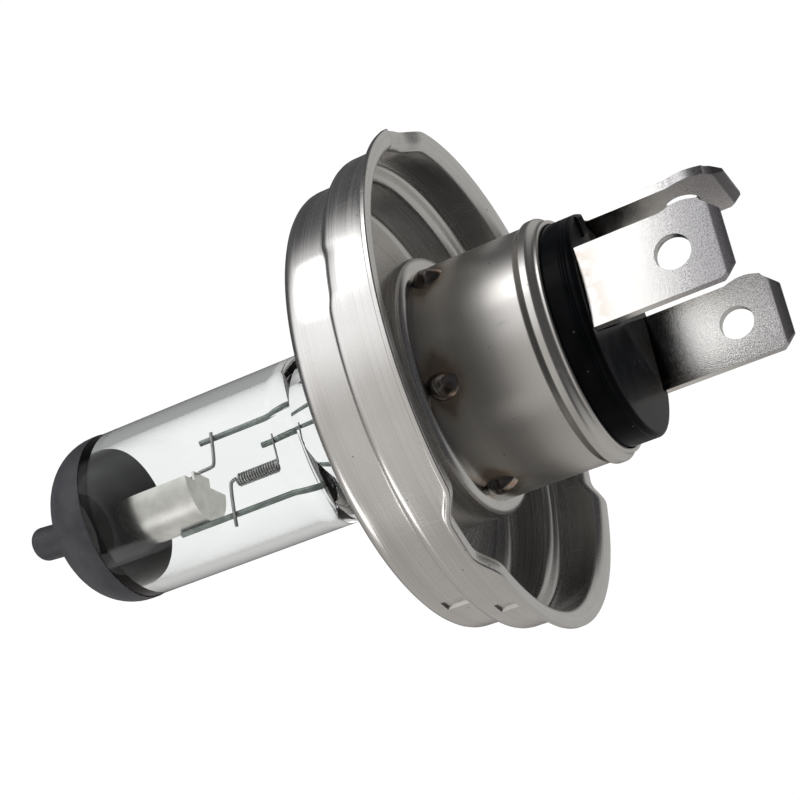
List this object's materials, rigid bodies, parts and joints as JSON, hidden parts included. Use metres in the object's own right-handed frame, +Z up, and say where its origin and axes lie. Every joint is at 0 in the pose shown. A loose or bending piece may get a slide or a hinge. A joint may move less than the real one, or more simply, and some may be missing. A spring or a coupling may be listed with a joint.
{
  "type": "headlight bulb",
  "caption": "Halogen headlight bulb: clear capsule with a dark dome and two filaments, stepped flange cup, steel shell and flat connector blades.",
  "frame": {"origin": "on the bulb's axis, in the plane of the three seating pads of the flange", "axes": "+Y along the axis to the rear, towards the blades, with the glass pointing to -Y; +Z up as fitted, on the side of the lone horizontal blade"},
  "size_m": [0.045, 0.0726, 0.045],
  "materials": {
    "flange_steel": "bright drawn stainless sheet with fine turning lines",
    "shell_steel": "satin drawn stainless tube",
    "black_plastic": "glossy black moulded plastic",
    "quartz_glass": "clear polished quartz",
    "antiglare_paint": "matte dark grey heat-proof paint",
    "tungsten": "dull grey drawn tungsten wire",
    "molybdenum": "satin pressed molybdenum sheet",
    "molybdenum_wire": "drawn molybdenum wire",
    "molybdenum_foil": "thin etched molybdenum foil",
    "nickel_lead": "plain nickel-plated wire",
    "holder_steel": "bright spring-steel sheet",
    "weld_metal": "bright weld drop with heat tint round it",
    "tinned_blade": "bright tin-plated brass"
  },
  "bodies": {
    "root": {"flange_ring": "flange_steel", "base_shell": "shell_steel", "insulator": "black_plastic", "glass_capsule": "quartz_glass", "antiglare_coating": "antiglare_paint", "low_beam_filament": "tungsten", "high_beam_filament": "tungsten", "low_beam_shield": "molybdenum", "low_beam_wire": "molybdenum_wire", "high_beam_wire": "molybdenum_wire", "common_wire": "molybdenum_wire", "low_beam_foil": "molybdenum_foil", "high_beam_foil": "molybdenum_foil", "common_foil": "molybdenum_foil", "low_beam_lead": "nickel_lead", "high_beam_lead": "nickel_lead", "common_lead": "nickel_lead", "burner_clip": "holder_steel", "carrier_disc": "holder_steel", "neck_welds": "weld_metal", "lead_welds": "weld_metal", "blade_top": "tinned_blade", "blade_right": "tinned_blade", "blade_left": "tinned_blade"}
  },
  "joints": []
}
